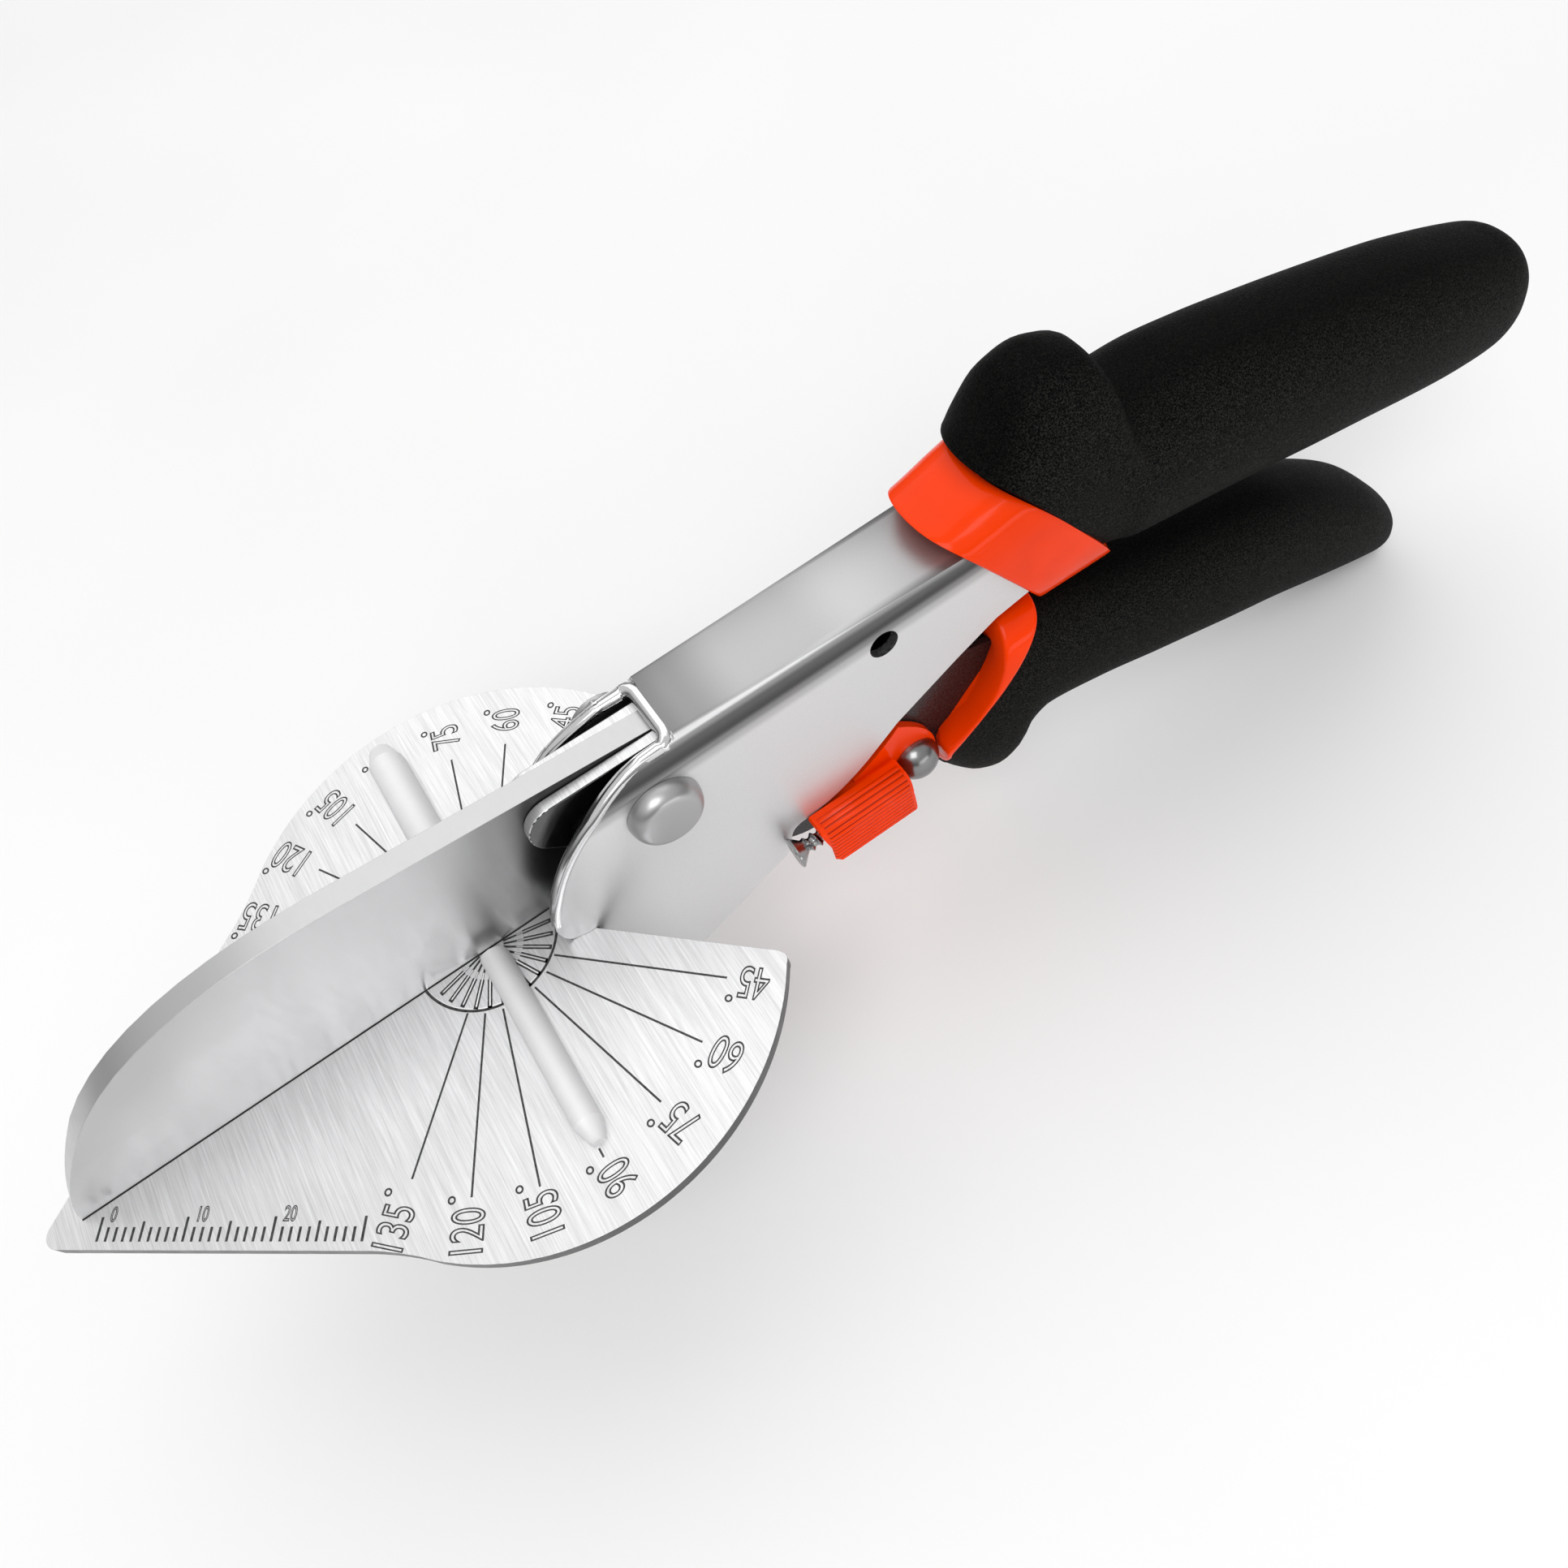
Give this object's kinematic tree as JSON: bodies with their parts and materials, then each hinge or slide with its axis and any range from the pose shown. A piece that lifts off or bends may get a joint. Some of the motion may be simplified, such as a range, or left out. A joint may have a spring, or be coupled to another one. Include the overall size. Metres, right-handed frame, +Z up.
{
  "type": "multi-angle mitre shears",
  "caption": "Hand shears that cut trim at set angles: a blade closes on a protractor plate, with two plastic-gripped levers and a thumb latch.",
  "frame": {"origin": "middle of the closed shears' box; the vertex of the angle scale, in the anvil plate's top face, is at (-0.04755, 0, 0.0018)", "axes": "+X along the cutting line towards the handles, +Z up out of the plate, +Y to the far side"},
  "size_m": [0.2076, 0.0722, 0.0746],
  "materials": {
    "lever_steel": "satin",
    "plate_steel": "brushed",
    "blade_steel": "polished",
    "dark_steel": "satin",
    "fence_metal": "satin",
    "fastener_steel": "polished",
    "spring_steel": "satin",
    "orange_plastic": "gloss",
    "grip_black": "matte",
    "nylon_dark": "matte"
  },
  "bodies": {
    "upper_handle": {"upper_lever": "lever_steel", "upper_collar": "orange_plastic", "upper_grip": "grip_black", "anvil_plate": "plate_steel", "anvil_strip": "nylon_dark", "anvil_rib": "dark_steel", "fence_near": "fence_metal", "fence_far": "fence_metal", "fence_screw_near_inner": "fastener_steel", "fence_screw_near_outer": "fastener_steel", "fence_screw_far_inner": "fastener_steel", "fence_screw_far_outer": "fastener_steel", "pivot_bolt": "fastener_steel", "pivot_nut": "fastener_steel", "pivot_washer_near": "nylon_dark", "pivot_washer_far": "nylon_dark", "spring_post_upper": "fastener_steel", "main_spring": "spring_steel"},
    "lower_handle": {"lower_lever": "dark_steel", "lower_collar": "orange_plastic", "lower_grip": "grip_black", "blade": "blade_steel", "blade_cheek_near": "plate_steel", "blade_cheek_far": "plate_steel", "blade_rivet_upper": "fastener_steel", "blade_rivet_lower": "fastener_steel", "spring_post_lower": "fastener_steel", "latch_rivet": "fastener_steel"},
    "latch_body": {"latch": "orange_plastic", "latch_screw": "fastener_steel"}
  },
  "joints": [
    {"name": "lever_pivot", "type": "hinge", "parent": "upper_handle", "child": "lower_handle", "pos_m": [-0.02295, 0, 0.0145], "axis": [0, 1, 0], "range_deg": [0, 25], "deforming": ["main_spring"]},
    {"name": "latch_turn", "type": "hinge", "parent": "lower_handle", "child": "latch_body", "pos_m": [0.00705, 0, -0.0078], "axis": [0, -1, 0], "range_deg": [0, 18]}
  ]
}
